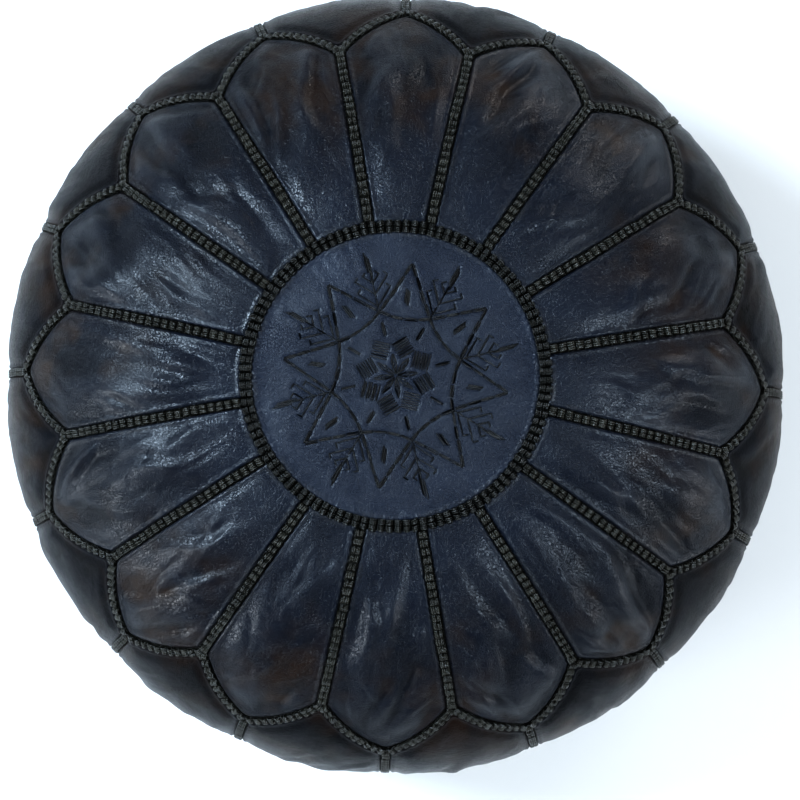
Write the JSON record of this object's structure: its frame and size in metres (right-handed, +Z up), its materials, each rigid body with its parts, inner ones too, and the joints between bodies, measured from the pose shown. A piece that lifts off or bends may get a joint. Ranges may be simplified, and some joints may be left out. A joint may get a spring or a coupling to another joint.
{
  "type": "leather pouf",
  "caption": "Round stuffed floor seat with an embroidered medallion, stitched leather petals over panelled sides, and a zipped base.",
  "frame": {"origin": "on the floor at the centre of the base", "axes": "+Z up through the medallion, +X along the zip from its closed end with the slider"},
  "size_m": [0.5062, 0.5062, 0.302],
  "materials": {
    "medallion_leather": "waxed, fine grain, soft blue-grey sheen",
    "leather": "waxed goatskin, fine grain, soft folds, worn edges",
    "base_leather": "plain split leather, matt",
    "stitching": "waxed black thread, slight sheen",
    "stuffing": "raw cotton, fluffy",
    "zip_tape": "woven polyester",
    "zip_metal": "antique brass, satin"
  },
  "bodies": {
    "cover": {"medallion": "medallion_leather", "medallion_ring_stitching": "stitching", "petal_01": "leather", "petal_02": "leather", "petal_03": "leather", "petal_04": "leather", "petal_05": "leather", "petal_06": "leather", "petal_07": "leather", "petal_08": "leather", "petal_09": "leather", "petal_10": "leather", "petal_11": "leather", "petal_12": "leather", "petal_13": "leather", "petal_14": "leather", "petal_15": "leather", "petal_16": "leather", "side_panel_01": "leather", "side_panel_02": "leather", "side_panel_03": "leather", "side_panel_04": "leather", "side_panel_05": "leather", "side_panel_06": "leather", "side_panel_07": "leather", "side_panel_08": "leather", "side_panel_09": "leather", "side_panel_10": "leather", "side_panel_11": "leather", "side_panel_12": "leather", "side_panel_13": "leather", "side_panel_14": "leather", "side_panel_15": "leather", "side_panel_16": "leather", "petal_seam_stitching_01": "stitching", "petal_seam_stitching_02": "stitching", "petal_seam_stitching_03": "stitching", "petal_seam_stitching_04": "stitching", "petal_seam_stitching_05": "stitching", "petal_seam_stitching_06": "stitching", "petal_seam_stitching_07": "stitching", "petal_seam_stitching_08": "stitching", "petal_seam_stitching_09": "stitching", "petal_seam_stitching_10": "stitching", "petal_seam_stitching_11": "stitching", "petal_seam_stitching_12": "stitching", "petal_seam_stitching_13": "stitching", "petal_seam_stitching_14": "stitching", "petal_seam_stitching_15": "stitching", "petal_seam_stitching_16": "stitching", "rim_and_side_stitching": "stitching", "base_seam_binding": "base_leather", "base_panel_rear": "base_leather", "base_panel_front": "base_leather", "stuffing": "stuffing", "zip_tape_rear": "zip_tape", "zip_tape_front": "zip_tape", "zip_end_stop": "zip_metal"},
    "slider": {"zip_slider": "zip_metal"},
    "pull": {"zip_pull": "zip_metal"}
  },
  "joints": [
    {"name": "zip_slide", "type": "slide", "parent": "cover", "child": "slider", "axis": [1, 0, 0], "range_m": [0, 0.3]},
    {"name": "pull_swing", "type": "hinge", "parent": "slider", "child": "pull", "pos_m": [-0.15, 0, 0.00535], "axis": [0, 1, 0], "range_deg": [0, 180]}
  ]
}
